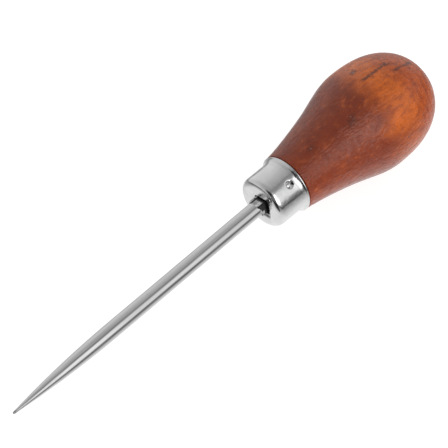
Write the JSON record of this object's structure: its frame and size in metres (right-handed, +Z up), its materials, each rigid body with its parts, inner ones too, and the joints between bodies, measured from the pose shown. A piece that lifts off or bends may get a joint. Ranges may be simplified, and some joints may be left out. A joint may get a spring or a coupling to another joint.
{
  "type": "scratch awl",
  "caption": "Scratch awl with a round pointed steel blade, a flared bright ferrule held by a brad, and a pear-shaped turned wooden handle.",
  "frame": {"origin": "on the table surface, under the middle of the tool's overall length, with the awl lying on its point and its belly", "axes": "+X from the point towards the butt, +Z up, +Y completes the frame; the tool's own axis leans 6.5 degrees up towards the butt in the XZ plane"},
  "size_m": [0.1714, 0.0344, 0.0347],
  "materials": {
    "blade_steel": "ground and polished steel",
    "ferrule_plating": "bright plated pressed steel",
    "handle_wood": "red-brown stained hardwood under gloss varnish",
    "brad_steel": "bright steel"
  },
  "bodies": {
    "root": {"blade": "blade_steel", "ferrule": "ferrule_plating", "handle": "handle_wood", "brad": "brad_steel"}
  },
  "joints": []
}
